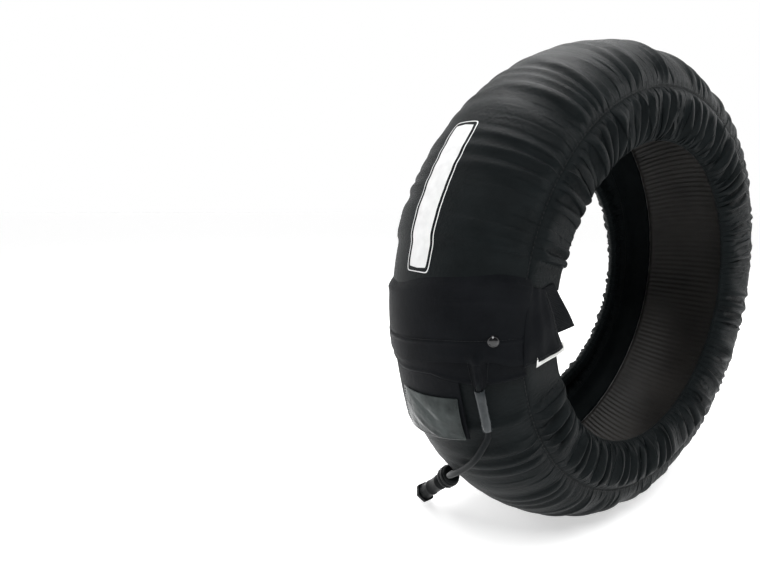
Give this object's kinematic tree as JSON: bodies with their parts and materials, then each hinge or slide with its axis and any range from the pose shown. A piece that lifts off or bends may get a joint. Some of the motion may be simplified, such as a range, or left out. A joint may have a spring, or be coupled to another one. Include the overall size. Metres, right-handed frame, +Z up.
{
  "type": "motorcycle tire warmer",
  "caption": "Padded fabric heating cover in the shape of a motorcycle tyre, with gathered elastic side skirts, an overlapping snap-down flap and a short supply lead with a plug.",
  "frame": {"origin": "on the floor under the wheel's centre, in the middle of the flat spot on the tread", "axes": "+Z up, Y along the wheel's axle with the near side towards -Y, the closing flap towards -X"},
  "size_m": [0.6557, 0.23, 0.6484],
  "materials": {
    "shell": "satin",
    "skirt": "satin",
    "elastic": "matte",
    "webbing": "matte",
    "snap_metal": "gloss",
    "label": "matte",
    "film": "gloss",
    "felt": "matte",
    "wire": "matte",
    "lining": "matte",
    "plastic": "satin",
    "lead_rubber": "satin",
    "clear_tube": "gloss",
    "pin_brass": "satin"
  },
  "bodies": {
    "root": {"tread_cover": "shell", "near_skirt": "skirt", "far_skirt": "skirt", "near_hem_elastic": "elastic", "far_hem_elastic": "elastic", "near_wing": "shell", "far_wing": "shell", "near_tab": "webbing", "far_tab": "webbing", "closure_hook_strip": "webbing", "closure_loop_strip": "webbing", "near_snap_cap": "snap_metal", "near_snap_socket": "snap_metal", "near_snap_stud": "snap_metal", "near_snap_post": "snap_metal", "far_snap_cap": "snap_metal", "far_snap_socket": "snap_metal", "far_snap_stud": "snap_metal", "far_snap_post": "snap_metal", "care_label": "label", "pocket_backing": "shell", "pocket_window": "film", "insulation_felt": "felt", "heating_wire": "wire", "heater_liner": "lining", "thermostat": "plastic", "thermal_fuse": "label", "live_core": "wire", "neutral_core": "wire", "held_lead": "lead_rubber", "lead_sleeve": "webbing", "strain_relief_tube": "clear_tube", "supply_lead": "lead_rubber", "gland_nut": "plastic", "gland_seal": "lead_rubber", "plug_body": "plastic", "plug_collar": "plastic", "pin_insert": "lead_rubber", "contact_pin_1": "pin_brass", "contact_pin_2": "pin_brass", "contact_pin_3": "pin_brass"}
  },
  "joints": []
}
